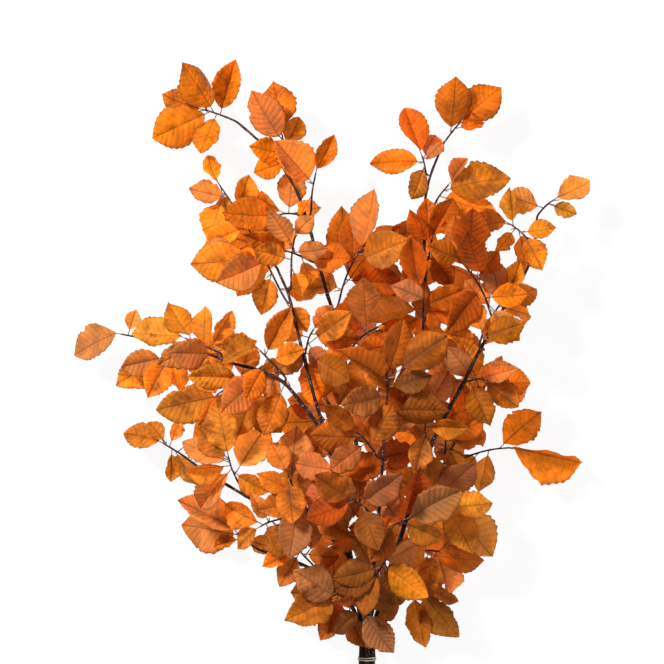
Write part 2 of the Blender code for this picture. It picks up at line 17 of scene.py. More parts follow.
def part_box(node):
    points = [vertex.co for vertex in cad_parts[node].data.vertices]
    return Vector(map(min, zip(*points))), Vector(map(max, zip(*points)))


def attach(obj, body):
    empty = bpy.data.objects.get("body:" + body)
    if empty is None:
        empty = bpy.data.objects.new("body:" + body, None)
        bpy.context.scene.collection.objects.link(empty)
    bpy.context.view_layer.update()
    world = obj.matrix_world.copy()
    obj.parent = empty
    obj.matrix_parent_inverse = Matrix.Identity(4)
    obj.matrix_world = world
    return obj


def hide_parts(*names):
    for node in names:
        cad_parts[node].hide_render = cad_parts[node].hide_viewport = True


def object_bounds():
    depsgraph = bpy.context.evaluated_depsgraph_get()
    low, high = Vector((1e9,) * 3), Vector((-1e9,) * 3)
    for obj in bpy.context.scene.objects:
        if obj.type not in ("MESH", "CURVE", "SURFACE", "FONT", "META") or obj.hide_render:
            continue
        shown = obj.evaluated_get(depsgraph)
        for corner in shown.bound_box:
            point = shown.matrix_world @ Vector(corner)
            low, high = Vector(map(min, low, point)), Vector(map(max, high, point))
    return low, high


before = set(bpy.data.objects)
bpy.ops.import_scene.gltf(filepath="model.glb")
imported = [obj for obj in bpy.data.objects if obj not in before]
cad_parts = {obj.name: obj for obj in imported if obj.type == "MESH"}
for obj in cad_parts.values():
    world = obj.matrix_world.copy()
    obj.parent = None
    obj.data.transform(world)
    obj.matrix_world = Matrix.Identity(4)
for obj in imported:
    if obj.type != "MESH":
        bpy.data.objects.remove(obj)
CAD_BOX = [list(corner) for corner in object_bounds()]

MM = 0.001
SEED = 11

# Wood, in millimetres
STEM_BASE_RADIUS = 3.7
STEM_TIP_RADIUS = 1.5
FORK_BASE_RADIUS = 2.5
TWIG_BASE_RADIUS = 1.35
TWIG_TIP_RADIUS = 0.95
STEM_STATIONS = 15  # points along a stem
FORK_STATIONS = 10
TWIG_STATIONS = 5
CUT_ENDS = -84.0  # along the bunch
FIT_GAP = 0.3  # between pieces that touch

# Ties
TIE_RADIUS = 0.9
TIES = {"lower_tie": -16.0, "upper_tie": 12.0}  # along the bunch
TIE_STATIONS = 24

# Leaves
BLADE_THICKNESS = 0.5
STALK_LENGTH = 8.0
STALK_WIDTH = 1.1
BLADE_WIDTH = 0.77  # of its length
LOWER_CORNERS = (0.24, 0.42)  # along the blade, out from the midrib, as shares of its length and width
UPPER_CORNERS = (0.66, 0.43)
BLADE_MIDDLE = 0.46
FOLDED_SHARE = 0.17  # of the leaves, half closed along the midrib
CLEARANCE = 1.1  # kept on each side of a blade, and round the wood, while placing them
LEAF_TRIES = 90
TWIG_TRIES = 40

# The crown: discs (x, y, radius) where leaves fill the gaps between the others.
CROWN = [(68, 462, 88), (30, 330, 116), (6, 190, 124), (8, 104, 74), (-160, 292, 58), (-190, 350, 46),
         (-162, 522, 46), (108, 306, 50), (74, 130, 66), (-96, 276, 34)]
CROWN_CELL = 8.0
CROWN_ROUNDS = 10
CROWN_TRIES = 60
CROWN_LEAF = (46.0, 66.0)
CROWN_STALK = (9.0, 24.0)
LEAST_GAIN = 5.0  # what a leaf has to add, in cells
SECOND_LAYER = 0.25  # what it adds over a cell that has one leaf
LEAF_COUNT = 400  # at most
STALK_SPACING = 3.4
STALK_FREE = 3.0  # from the twig's axis to where stalks keep clear of one another
LEAST_TWIG = 48.0
ELBOW = 4.2  # how far a twig stands straight out of the bark
MOST_TWIG_SETBACK = 45.0
LEAST_FORK_ANGLE = math.radians(38)  # between a stalk and its twig

# Each stem's bearing in the bundle, in degrees: six are packed as a hexagon round the seventh.
BUNDLE_PLACES = {
    "centre": 90.0,
    "right": 30.0,
    "low_right": -30.0,
    "tall_right": -90.0,
    "low_left": -150.0,
    "front_left": 150.0,
    "tall_left": None,
}

# The stems' routes above the upper tie (x, y, z).
STEMS = {
    "tall_left": [(-5, 114, 22), (-12, 250, 42), (-31, 384, 55), (-60, 464, 60), (-75, 545, 62),
                  (-112, 607, 60), (-156, 641, 54)],
    "front_left": [(-12, 70, 36), (-29, 162, 82), (-43, 240, 108), (-67, 318, 114), (-85, 390, 108),
                   (-94, 436, 98), (-108, 462, 92)],
    "low_left": [(-20, 56, 26), (-45, 86, 42), (-77, 103, 44), (-107, 112, 36), (-129, 118, 28)],
    "tall_right": [(23, 114, 20), (41, 210, 36), (59, 306, 50), (71, 402, 58), (70, 486, 60),
                   (66, 542, 60), (74, 580, 58), (89, 610, 56)],
    "right": [(22, 78, 44), (43, 150, 74), (58, 200, 92), (71, 250, 102), (100, 300, 104),
              (131, 360, 98), (162, 420, 88), (188, 450, 80), (205, 486, 74), (205, 524, 68)],
    "low_right": [(34, 78, 22), (56, 140, 40), (74, 190, 56), (95, 232, 64), (110, 262, 66)],
    "centre": [(4, 66, 52), (12, 162, 112), (17, 246, 140), (20, 290, 146)],
}

# Forks: the stem that each grows from, how far along it, and its route.
FORKS = {
    "left": ("front_left", 0.62, [(-101, 334, 112), (-127, 342, 104), (-161, 348, 96), (-202, 366, 84),
                                  (-240, 377, 70), (-270, 380, 60)]),
    "mid_left": ("front_left", 0.33, [(-67, 164, 84), (-115, 171, 78), (-155, 193, 66), (-199, 217, 52),
                                      (-222, 234, 44)]),
}

# Shoots: where each twig ends (x, y, z), and the bearing (0 is right, 90 is up the bunch) and length
# of each leaf. The first shoot of a stem or fork carries on from its end.
SHOOTS = {
    "tall_left": [
        ((-200, 659, 50), [(250, 46), (205, 70), (160, 50), (122, 62), (72, 60), (140, 40)]),
        ((-104, 628, 62), [(118, 64), (96, 60), (168, 40), (205, 38), (64, 40)]),
        ((-63, 580, 64), [(127, 62), (62, 46), (240, 24)]),
        ((-108, 530, 62), [(32, 42), (84, 48), (158, 52), (180, 62), (205, 42)]),
        ((-113, 488, 60), [(155, 62), (188, 62), (290, 38), (12, 56), (169, 70), (120, 40)]),
        ((-10, 486, 66), [(99, 74), (76, 70), (88, 50), (-3, 62), (167, 48)]),
        ((12, 394, 84), [(92, 58), (170, 48), (-12, 46), (225, 48), (50, 50)]),
        ((-50, 304, 62), [(100, 50), (170, 46), (20, 46), (250, 44), (60, 46)]),
    ],
    "front_left": [
        ((-146, 480, 86), [(186, 66), (204, 66), (168, 50), (196, 40)]),
        ((-88, 500, 96), [(165, 40), (10, 36), (-60, 30), (130, 42), (45, 30)]),
        ((-178, 573, 62), [(165, 40), (205, 50), (70, 38), (15, 50), (-8, 50), (240, 50), (255, 44),
                           (300, 34), (110, 32)]),
        ((-66, 390, 74), [(-8, 50), (160, 44), (215, 40), (40, 40), (-60, 42)]),
        ((-36, 226, 124), [(10, 52), (80, 50), (300, 48), (170, 46), (230, 46)]),
    ],
    "left": [
        ((-300, 385, 54), [(207, 60), (70, 26)]),
        ((-220, 380, 78), [(130, 50), (172, 58), (56, 44), (208, 46), (92, 42), (16, 42)]),
        ((-252, 354, 50), [(210, 58), (188, 46), (243, 50), (-35, 38), (278, 40)]),
        ((-134, 360, 104), [(66, 56), (15, 40), (200, 44), (265, 40)]),
        ((-182, 312, 66), [(190, 70), (120, 46), (75, 48), (30, 42), (240, 46)]),
    ],
    "mid_left": [
        ((-250, 251, 38), [(166, 46), (70, 28), (268, 32), (290, 56), (128, 28)]),
        ((-168, 238, 84), [(104, 66), (160, 58), (182, 50), (232, 62), (-35, 40), (138, 46)]),
        ((-96, 218, 104), [(84, 64), (155, 44), (187, 44), (120, 40), (-80, 40)]),
        ((-130, 152, 70), [(157, 46), (225, 34), (120, 36), (-36, 46), (285, 38)]),
    ],
    "low_left": [
        ((-160, 140, 24), [(158, 76), (172, 74), (200, 30), (-12, 38)]),
        ((-88, 130, 62), [(208, 40), (160, 36), (75, 44), (0, 36), (240, 40)]),
        ((-40, 70, 76), [(147, 60), (183, 52), (97, 52), (200, 62), (255, 44), (60, 46)]),
        ((-38, 50, 14), [(190, 54), (240, 38), (308, 44), (150, 48)]),
    ],
    "tall_right": [
        ((112, 642, 54), [(235, 32), (14, 30), (44, 62), (88, 60)]),
        ((66, 602, 60), [(104, 62), (176, 56), (252, 40), (52, 50)]),
        ((98, 566, 66), [(11, 72), (-20, 62), (-47, 46), (60, 36)]),
        ((78, 500, 70), [(122, 44), (60, 50), (220, 42), (-55, 40), (100, 46), (10, 46)]),
        ((46, 440, 40), [(145, 58), (200, 42), (105, 48), (178, 46), (60, 44), (-30, 44)]),
        ((66, 424, 110), [(158, 40), (211, 50), (-11, 58), (300, 42), (254, 46), (20, 46)]),
    ],
    "right": [
        ((226, 548, 60), [(23, 46), (-16, 28), (162, 42)]),
        ((172, 518, 74), [(92, 40), (195, 52), (0, 34), (-60, 44), (235, 30), (-78, 46)]),
        ((164, 428, 84), [(64, 46), (18, 50), (-16, 42), (98, 48), (250, 38)]),
        ((112, 470, 110), [(225, 62), (103, 62), (50, 34), (160, 44), (-50, 46), (0, 42)]),
        ((136, 384, 104), [(15, 48), (121, 44), (-15, 36), (165, 42), (-62, 42)]),
        ((140, 330, 80), [(-4, 52), (18, 42), (280, 36), (130, 42), (-40, 46)]),
        ((66, 300, 116), [(120, 50), (60, 48), (180, 46), (250, 44), (0, 44)]),
    ],
    "low_right": [
        ((142, 322, 62), [(12, 60), (-68, 36), (60, 36), (130, 36)]),
        ((92, 266, 86), [(33, 54), (8, 42), (48, 60), (-62, 42), (100, 40)]),
        ((174, 246, 44), [(34, 62), (-15, 90), (-105, 48), (225, 40), (186, 42)]),
        ((98, 178, 78), [(-44, 82), (208, 48), (255, 46), (-62, 62), (5, 48)]),
        ((92, 118, 40), [(-66, 60), (-30, 32), (250, 46), (-96, 52), (35, 46)]),
        ((74, 70, 34), [(278, 60), (-46, 62), (-14, 36), (190, 44), (150, 46)]),
    ],
    "centre": [
        ((23, 338, 150), [(143, 62), (73, 60), (20, 46), (190, 48)]),
        ((-14, 270, 146), [(172, 52), (135, 44), (60, 50), (215, 46)]),
        ((-20, 190, 132), [(145, 46), (42, 56), (200, 52), (-70, 48), (95, 50)]),
        ((46, 166, 120), [(70, 60), (30, 66), (183, 46), (124, 42), (-20, 48), (232, 46)]),
        ((20, 112, 98), [(208, 58), (190, 50), (-40, 58), (-66, 52), (20, 46), (250, 48)]),
        ((-10, 58, 66), [(215, 38), (-48, 54), (-62, 46), (150, 42), (70, 46), (20, 46)]),
    ],
}

# The look
LOOKS_SEED = 5
SHEET_THICKNESS = 0.22
VEIN_SPACING = 5.6
SUBROWS = 4  # rows of faces from one side vein to the next
ACROSS = (0.06, 0.3, 0.55, 0.8, 1.0)  # columns, as shares of the way from midrib to margin
TOOTH = 0.036  # of the half width
TIP_POINT = 0.035  # of the length
NARROWEST = 0.3  # half the blade's width at its base and tip
CURLED_SHARE = 0.2  # of the leaves, with their margins rolled

# The wood's look
NODE_SPACING = 26.0  # between nodes along the wood
STEM_GRAIN = (4.0, 0.35, 12)  # the step along the bark, the sway from node to node, and its sides
TWIG_GRAIN = (3.0, 0.3, 8)
BUD_WIDTH = 0.1  # of a bud's length
BUD_SHARE = 0.45  # of the leaves, with a bud beside their stalk
STALK_BUDS = (6.0, 11.0)  # long
STEM_BUDS = (6.0, 10.0)
BUD_EVERY = 9  # steps along a stem
LOWEST_BUD = 60.0  # along the bunch
STALK_RADII = (0.85, 0.65, 0.65)
MIDRIB_STATIONS = 8
MIDRIB_REACH = 0.9  # of the blade
MIDRIB_DROP = 0.22  # below the blade
FINE_SIDES = 6  # of stalks and buds
BAND_RADIUS = 0.75
BAND_FLATNESS = 0.8  # its thickness, as a share of its width
BAND_STATIONS = 96
BAND_SIDES = 8

# Colours, linear
# The darker tints in the middle of the bunch are partly painted shade, for leaves that lie in layers.
REGION_TINTS = [  # a place in the bunch (x, y), and the tint of the leaves near it
    ((-170, 620), (0.92, 0.25, 0.004)),
    ((-60, 590), (0.88, 0.24, 0.004)),
    ((-190, 470), (0.95, 0.36, 0.03)),
    ((-260, 350), (0.95, 0.32, 0.02)),
    ((-180, 260), (0.9, 0.32, 0.03)),
    ((-90, 380), (0.93, 0.3, 0.02)),
    ((-120, 130), (0.72, 0.2, 0.015)),
    ((0, 60), (0.46, 0.14, 0.018)),
    ((0, 220), (0.56, 0.17, 0.02)),
    ((70, 620), (0.66, 0.12, 0.004)),
    ((70, 470), (0.58, 0.1, 0.006)),
    ((0, 480), (0.82, 0.2, 0.008)),
    ((130, 480), (0.52, 0.07, 0.004)),
    ((200, 560), (0.92, 0.34, 0.015)),
    ((190, 420), (0.84, 0.25, 0.008)),
    ((210, 270), (0.92, 0.26, 0.01)),
    ((110, 170), (0.98, 0.4, 0.04)),
    ((90, 60), (0.92, 0.32, 0.02)),
    ((60, 320), (0.6, 0.15, 0.015)),
]
BRIGHT_TINTS = [
    (0.95, 0.33, 0.01), (0.95, 0.26, 0.005), (0.95, 0.44, 0.06), (0.84, 0.3, 0.01), (0.78, 0.13, 0.003),
    (0.9, 0.2, 0.004)]
# Dull, dark tints: partly the leaves' own browns, partly painted shade for the inner leaves.
DULL_AND_SHADED_TINTS = [
    (0.46, 0.035, 0.002), (0.7, 0.09, 0.003), (0.66, 0.28, 0.1), (0.74, 0.22, 0.07), (0.24, 0.11, 0.025),
    (0.66, 0.26, 0.08), (0.36, 0.11, 0.012)]
INNER_AND_SHADED_TINTS = BRIGHT_TINTS[3:] + DULL_AND_SHADED_TINTS
HEART = (10, 210, 125, 260)  # the middle x, y and half width, half height of the inner leaves, whose duller, darker tints are partly their own colour and partly painted shade
VEIN_BROWN = (0.14, 0.03, 0.006)
RIM_BROWN = (0.16, 0.04, 0.012)
SPOT_BROWN = (0.2, 0.055, 0.012)
UNDERSIDE = (0.72, 0.33, 0.15)
SHADE = (0.66, 1.28)  # a leaf's own brightness
TURNED_SHARE = 0.2  # of the leaves, with their paler side up
THROUGH_GAMMA = 0.6  # under 1, light that comes through is paler than the leaf
LIGHT_THROUGH = 0.55
VEIN_WIDTH = 0.12  # of the spacing, on each side
MIDRIB_WIDTH = 1.1  # on each side
RIM_START = 0.92  # of the way from midrib to margin

# Studio: metres and watts, with the lens and the sensor in millimetres
WHITE = (1.0, 1.0, 1.0, 1.0)
FLOOR = CAD_BOX[0][2]
FLOOR_REACH = 9.0
FLOOR_COLOUR = (0.08, 0.08, 0.08, 1.0)
FLOOR_GLOW = 0.93
TABLE_POWER = 6.5  # of the wide lamp on the floor that shines up
TABLE_SIZE = 1.6
TABLE_LIFT = 0.0005
WORLD_LIGHT = 0.12
CAMERA_HEIGHT = 2.5
LENS = 113.0
SENSOR = 36.0
FARTHEST = 30.0  # that the camera sees
PLACE_TOLERANCE = 0.003
SOFT_LIGHTS = [  # name, place from the aim point, size, power
    ("key", (-1.5, 1.3, 1.9), 0.5, 135.0),
    ("fill", (1.6, -0.6, 2.0), 1.8, 25.0),
]


# Routes

def rounded(points, count):
    """count points, evenly spaced along a polyline whose corners are cut until it is a smooth curve."""
    for _ in range(4):
        cut = [points[0]]
        for a, b in zip(points, points[1:]):
            cut += [a.lerp(b, 0.25), a.lerp(b, 0.75)]
        points = [*cut, points[-1]]
    return resampled(points, count)


def resampled(points, count):
    """count points at equal steps along a polyline."""
    reached = [0.0]
    for a, b in zip(points, points[1:]):
        reached.append(reached[-1] + (b - a).length)
    found, i = [], 0
    for k in range(count):
        want = reached[-1] * k / (count - 1)
        while i < len(points) - 2 and reached[i + 1] < want:
            i += 1
        share = (want - reached[i]) / max(reached[i + 1] - reached[i], 1e-9)
        found.append(points[i].lerp(points[i + 1], min(share, 1.0)))
    return found


class Limb:
    """A tapering length of wood: a stem, a fork or a twig."""

    def __init__(self, points, base_radius, tip_radius):
        self.points = points
        self.base_radius, self.tip_radius = base_radius, tip_radius
        self.length = sum((b - a).length for a, b in zip(points, points[1:]))

    def at(self, share):
        """(point, direction, radius) that share of the way along."""
        place = min(max(share, 0.0), 1.0) * (len(self.points) - 1)
        i = min(int(place), len(self.points) - 2)
        a, b = self.points[i], self.points[i + 1]
        return a.lerp(b, place - i), (b - a).normalized(), self.radius(share)

    def radius(self, share):
        return self.base_radius + (self.tip_radius - self.base_radius) * share

    def radii(self):
        last = len(self.points) - 1
        return [self.radius(i / last) for i in range(last + 1)]

    def share_nearest(self, point):
        last = len(self.points) - 1
        return min(range(last + 1), key=lambda i: (self.points[i] - point).length) / last


def bundle_place(name, along):
    """Where a stem stands in the bundle, that far along it."""
    turn = BUNDLE_PLACES[name]
    pitch = 2 * STEM_BASE_RADIUS + FIT_GAP
    axis_height = 2 * TIE_RADIUS + FIT_GAP + pitch + STEM_BASE_RADIUS
    if turn is None:
        return Vector((0, along, axis_height))
    # Below the ties the cut ends spread a little.
    spread = pitch * (1 + 0.0016 * max(TIES["lower_tie"] - along, 0.0))
    turn = math.radians(turn)
    return Vector((spread * math.cos(turn), along, axis_height + spread * math.sin(turn)))


def stem_limb(name):
    tied = [bundle_place(name, along) for along in (CUT_ENDS, TIES["lower_tie"] - 3, TIES["upper_tie"] + 5)]
    free = rounded([tied[-1], *map(Vector, STEMS[name])], STEM_STATIONS - 2)
    return Limb([*tied, *free[1:]], STEM_BASE_RADIUS, STEM_TIP_RADIUS)


def fork_limb(name, limbs):
    parent, share, route = FORKS[name]
    start = limbs[parent].at(share)[0]
    points = rounded([start, *map(Vector, route)], FORK_STATIONS)
    return Limb(points, FORK_BASE_RADIUS, STEM_TIP_RADIUS)


def twig_limb(parent, tip, carries_on, least):
    """A twig from the parent's bark to tip, first straight out of the bark and then in an arc."""
    if carries_on:
        start, heading, _ = parent.at(1.0)
        start = start + heading * FIT_GAP
        elbow = start + heading * ELBOW
    else:
        nearest = parent.share_nearest(tip)
        reach = (parent.at(nearest)[0] - tip).length
        back = max(min(0.7 * reach, MOST_TWIG_SETBACK), least - 0.5 * reach)
        share = max(nearest - back / parent.length, 0.12)
        axis_point, heading, radius = parent.at(share)
        out = tip - axis_point
        out = (out - heading * out.dot(heading)).normalized()
        start = axis_point + out * (radius + FIT_GAP)
        elbow = start + out * ELBOW + heading * 1.0
    bend = (elbow + tip) / 2 + heading * 0.12 * (tip - elbow).length
    points = [start, *rounded([elbow, bend, tip], TWIG_STATIONS - 1)]
    return Limb(points, TWIG_BASE_RADIUS, TWIG_TIP_RADIUS)


# Room for each piece

class Room:
    """What is already in place, for testing whether a new surface is clear of it."""

    def __init__(self):
        self.pieces = []

    def add(self, owner, surface):
        self.pieces.append((owner, *surface))

    def clear(self, surface, ignore=()):
        tree, centre, radius = surface
        return not any(
            owner not in ignore
            and (centre - other_centre).length < radius + other_radius
            and tree.overlap(other_tree)
            for owner, other_tree, other_centre, other_radius in self.pieces
        )


def surface_of(points, faces):
    centre = sum(points, Vector()) / len(points)
    radius = max((p - centre).length for p in points)
    return BVHTree.FromPolygons(points, faces), centre, radius


def heading_at(points, i):
    """The direction of a route at its point i."""
    return (points[min(i + 1, len(points) - 1)] - points[max(i - 1, 0)]).normalized()


def skin(rings, sides):
    """The faces between each of a number of rings and the next."""
    return [
        (i * sides + k, i * sides + (k + 1) % sides, (i + 1) * sides + (k + 1) % sides, (i + 1) * sides + k)
        for i in range(rings - 1) for k in range(sides)]


def tube_surface(points, radii, sides=6):
    corners = []
    for i, point in enumerate(points):
        along = heading_at(points, i)
        side = along.orthogonal().normalized()
        for k in range(sides):
            corners.append(point + Matrix.Rotation(math.tau * k / sides, 3, along) @ side * radii[i])
    return surface_of(corners, skin(len(points), sides))


def limb_surface(limb, skip=0):
    """The limb's bark with the clearance round it, without its first stations."""
    return tube_surface(limb.points[skip:], [r + CLEARANCE for r in limb.radii()[skip:]])


# Leaves

class Leaf:
    """A stalk and a blade: the root on the twig's axis, the blade's base, its outline and its middle."""

    def __init__(self, root, stalk, along, face, length, fold, curl):
        self.root, self.base = root, root + stalk
        self.along, self.across, self.face = along, face.cross(along).normalized(), face
        self.length, self.width = length, BLADE_WIDTH * length
        self.lean, self.rise = 1 / math.hypot(1, fold), fold / math.hypot(1, fold)
        self.curl = curl
        low_share, low_out = LOWER_CORNERS
        high_share, high_out = UPPER_CORNERS
        self.outline = [self.spot(low_share, -low_out), self.spot(high_share, -high_out), self.spot(1.0, 0.0),
                        self.spot(high_share, high_out), self.spot(low_share, low_out)]
        self.middle = self.spot(BLADE_MIDDLE, 0.0)
        if self.middle.z < BLADE_THICKNESS:
            self.middle.z = BLADE_THICKNESS + 0.5  # a pressed leaf keeps its midrib's ridge
        half = self.across * STALK_WIDTH / 2
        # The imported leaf's corners
        self.corners = [root - half, root + half, self.base - half, self.base + half,
                        *self.outline, self.middle]

    def spot(self, share, out):
        """The point a share of the way along the blade and a share of its width out from the midrib."""
        rise = abs(out) * self.width * self.rise - self.curl * self.length * share * share
        reach = out * self.width * self.lean
        spot = self.base + self.along * share * self.length + self.across * reach + self.face * rise
        return Vector((spot.x, spot.y, max(spot.z, BLADE_THICKNESS / 2)))

    def blade_surface(self):
        """Both sides of the blade, each a clearance away from it."""
        ring = [self.base, *self.outline]
        normal = (self.outline[0] - self.middle).cross(self.outline[2] - self.middle).normalized()
        lift = normal * (CLEARANCE + BLADE_THICKNESS / 2)
        points = [p + side * lift for side in (1, -1) for p in [*ring, self.middle]]
        count = len(ring)
        faces = []
        for offset in (0, count + 1):
            faces += [(offset + k, offset + (k + 1) % count, offset + count) for k in range(count)]
        faces += [(k, (k + 1) % count, (k + 1) % count + count + 1, k + count + 1) for k in range(count)]
        return surface_of(points, faces)

    def stalk_surface(self):
        start = self.root + (self.base - self.root).normalized() * STALK_FREE
        return tube_surface([start, self.base], [STALK_WIDTH / 2 + 0.4 * CLEARANCE] * 2, 4)


def direction(bearing, pitch):
    """A unit vector, from a bearing and a pitch above level in degrees."""
    bearing, pitch = math.radians(bearing), math.radians(pitch)
    return Vector((math.cos(bearing) * math.cos(pitch), math.sin(bearing) * math.cos(pitch), math.sin(pitch)))


def stalk_along(heading, twig_heading):
    """heading, turned away from the twig where it would run along it."""
    angle = heading.angle(twig_heading)
    if angle > LEAST_FORK_ANGLE:
        return heading
    side = heading - twig_heading * heading.dot(twig_heading)
    side = side.normalized() if side.length > 1e-3 else twig_heading.orthogonal().normalized()
    return twig_heading * math.cos(LEAST_FORK_ANGLE) + side * math.sin(LEAST_FORK_ANGLE)


def drawn_leaf(draw, root, stalk_length, twig_heading, bearing, length, last, play):
    """A leaf near a bearing, turned and tilted by a draw that widens with play."""
    heading = direction(bearing + draw.uniform(-1, 1) * (5 + 34 * play),
                        draw.uniform(-1, 1) * (22 + 42 * play))
    face = (Vector((0, 0, 1)) - heading * heading.z).normalized()
    roll = math.radians(draw.uniform(-1, 1) * (36 + 34 * play))
    face = Matrix.Rotation(roll, 3, heading) @ face
    along_stalk = twig_heading if last else stalk_along(heading, twig_heading)
    fold = draw.uniform(0.65, 1.1) if draw.random() < FOLDED_SHARE else draw.uniform(0.02, 0.4)
    curl = draw.uniform(-0.1, 0.2)
    return Leaf(root, along_stalk * stalk_length, heading, face, length * (1 - 0.25 * play), fold, curl)


def has_room(leaf, name, room):
    if leaf.base.z < 1.5 or not room.clear(leaf.blade_surface()):
        return False
    return room.clear(leaf.stalk_surface(), ignore=(name + "_wood",))


class Shoot:
    """A twig with the places where stalks can grow from it, from its tip down."""

    def __init__(self, name, twig, plan):
        self.name, self.twig = name, twig
        _, heading, _ = twig.at(1.0)
        twig_bearing = math.degrees(math.atan2(heading.y, heading.x))
        self.plan = sorted(plan, key=lambda leaf: abs((leaf[0] - twig_bearing + 180) % 360 - 180))
        count = int((twig.length - 5.0) / STALK_SPACING)
        self.free = [1.0] + [1.0 - (k * STALK_SPACING + 0.5) / twig.length for k in range(1, count)]
        self.leaves = []

    def keep(self, leaf, share, room):
        room.add(self.name, leaf.blade_surface())
        room.add(self.name, leaf.stalk_surface())
        self.free.remove(share)
        self.leaves.append(leaf)

    def grow_plan(self, draw, room):
        """The planned leaves, those that turn off most sharply lowest on the twig."""
        stride = max(len(self.free) // (len(self.plan) + 1), 1)
        places = self.free[::stride][: len(self.plan)]
        for share, (bearing, length) in zip(places, self.plan):
            root, heading, _ = self.twig.at(share)
            last = share == 1.0
            if last:
                root = root - heading * 2.0
            for attempt in range(LEAF_TRIES):
                play = attempt / LEAF_TRIES
                leaf = drawn_leaf(draw, root, STALK_LENGTH, heading, bearing, length, last, play)
                if has_room(leaf, self.name, room):
                    self.keep(leaf, share, room)
                    break

    def grow_into(self, draw, canopy, room):
        """One leaf more, the one of several draws that fills most of the crown's gaps."""
        best, most = None, LEAST_GAIN
        for _ in range(CROWN_TRIES):
            shares = [share for share in self.free if share < 1.0]
            if not shares:
                return
            share = draw.choice(shares)
            root, heading, _ = self.twig.at(share)
            leaf = drawn_leaf(draw, root, draw.uniform(*CROWN_STALK), heading, draw.uniform(0, 360),
                              draw.uniform(*CROWN_LEAF), False, 0.3)
            gain = canopy.gain(leaf)
            if gain > most and has_room(leaf, self.name, room):
                best, most = (leaf, share), gain
        if best:
            self.keep(*best, room)
            canopy.cover(best[0])


class Canopy:
    """How many leaves lie over each cell of the crown, seen from above."""

    def __init__(self):
        self.layers = {}
        for x, y, radius in CROWN:
            reach = int(radius / CROWN_CELL) + 1
            middle = (round(x / CROWN_CELL), round(y / CROWN_CELL))
            for i in range(-reach, reach + 1):
                for j in range(-reach, reach + 1):
                    if math.hypot(i, j) * CROWN_CELL <= radius:
                        self.layers[middle[0] + i, middle[1] + j] = 0

    def cells(self, leaf):
        """The cells whose middle is under the leaf's outline."""
        ring = [(p.x / CROWN_CELL, p.y / CROWN_CELL) for p in (leaf.base, *leaf.outline)]
        xs, ys = [x for x, _ in ring], [y for _, y in ring]
        for i in range(math.ceil(min(xs)), math.floor(max(xs)) + 1):
            for j in range(math.ceil(min(ys)), math.floor(max(ys)) + 1):
                inside = False
                for (ax, ay), (bx, by) in zip(ring, ring[1:] + ring[:1]):
                    if (ay > j) != (by > j) and i < ax + (bx - ax) * (j - ay) / (by - ay):
                        inside = not inside
                if inside:
                    yield i, j

    def gain(self, leaf):
        """What the leaf adds: a bare cell counts most, and one outside the crown counts against it."""
        worth = {0: 1.0, 1: SECOND_LAYER, None: -2.0}
        return sum(worth.get(self.layers.get(cell), 0.0) for cell in self.cells(leaf))

    def cover(self, leaf):
        for cell in self.cells(leaf):
            if cell in self.layers:
                self.layers[cell] += 1


def grown_shoots(draw, twigs, room):
    """Every shoot with its leaves."""
    shoots = [Shoot(name, twig, plan) for name, (twig, plan) in twigs.items()]
    canopy = Canopy()
    for shoot in shoots:
        shoot.grow_plan(draw, room)
        for leaf in shoot.leaves:
            canopy.cover(leaf)
    for shoot in CROWN_ROUNDS * shoots:
        if sum(len(other.leaves) for other in shoots) < LEAF_COUNT:
            shoot.grow_into(draw, canopy, room)
    return shoots


def placed_twig(draw, parent_name, parent, tip, carries_on, leaf_count, room):
    """The first twig near the wanted tip that is clear of the other wood."""
    least = max(STALK_SPACING * (leaf_count + 3) + 6.0, LEAST_TWIG)
    for attempt in range(TWIG_TRIES):
        play = attempt * 0.5
        moved = tip + Vector((draw.uniform(-1, 1), draw.uniform(-1, 1), draw.uniform(-1, 1))) * play
        moved.z = max(moved.z, 4.0)
        twig = twig_limb(parent, moved, carries_on, least)
        if room.clear(limb_surface(twig), ignore=(parent_name,)) and room.clear(limb_surface(twig, 1)):
            return twig
    raise ValueError(f"no room for a twig of {parent_name} to {tuple(tip)}")


def tie_route(along):
    """Once round the bundle, a gap away from the stems' outline."""
    reach = 2 * STEM_BASE_RADIUS + FIT_GAP
    off = STEM_BASE_RADIUS + TIE_RADIUS + FIT_GAP
    middle = bundle_place("tall_left", along)
    points = []
    for k in range(TIE_STATIONS):
        turn = math.tau * k / TIE_STATIONS
        corner = math.radians(60) * round((turn - math.radians(30)) / math.radians(60)) + math.radians(30)
        out = Vector((math.cos(corner), 0, math.sin(corner))) * reach
        points.append(middle + out + Vector((math.cos(turn), 0, math.sin(turn))) * off)
    return points


def grown_bunch():
    """The limbs, by name, and the shoots with their leaves."""
    draw = random.Random(SEED)
    room = Room()
    limbs = {name: stem_limb(name) for name in STEMS}
    limbs |= {name: fork_limb(name, limbs) for name in FORKS}
    for name, limb in limbs.items():
        room.add(name, limb_surface(limb, 1 if name in FORKS else 0))
    twigs = {}
    for limb_name, shoots in SHOOTS.items():
        for k, (tip, plan) in enumerate(shoots):
            name = f"{limb_name}_shoot_{k + 1}"
            twig = placed_twig(draw, limb_name, limbs[limb_name], Vector(tip), k == 0, len(plan), room)
            room.add(name + "_wood", limb_surface(twig))
            twigs[name] = (twig, plan)
    return limbs, grown_shoots(draw, twigs, room)


# Place in the model

LOWER_TIE = (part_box("lower_tie")[0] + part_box("lower_tie")[1]) / 2
SHIFT = LOWER_TIE - bundle_place("tall_left", TIES["lower_tie"]) * MM  # the tables' origin
AIM = SHIFT + Vector((-0.0432, 0.3876, 0.0934))  # what the camera and the lamps point at


def linked(name, data, place=(0, 0, 0)):
    """A new object, put in the scene."""
    made = bpy.data.objects.new(name, data)
    made.location = place
    bpy.context.scene.collection.objects.link(made)
    return made


# Meshes

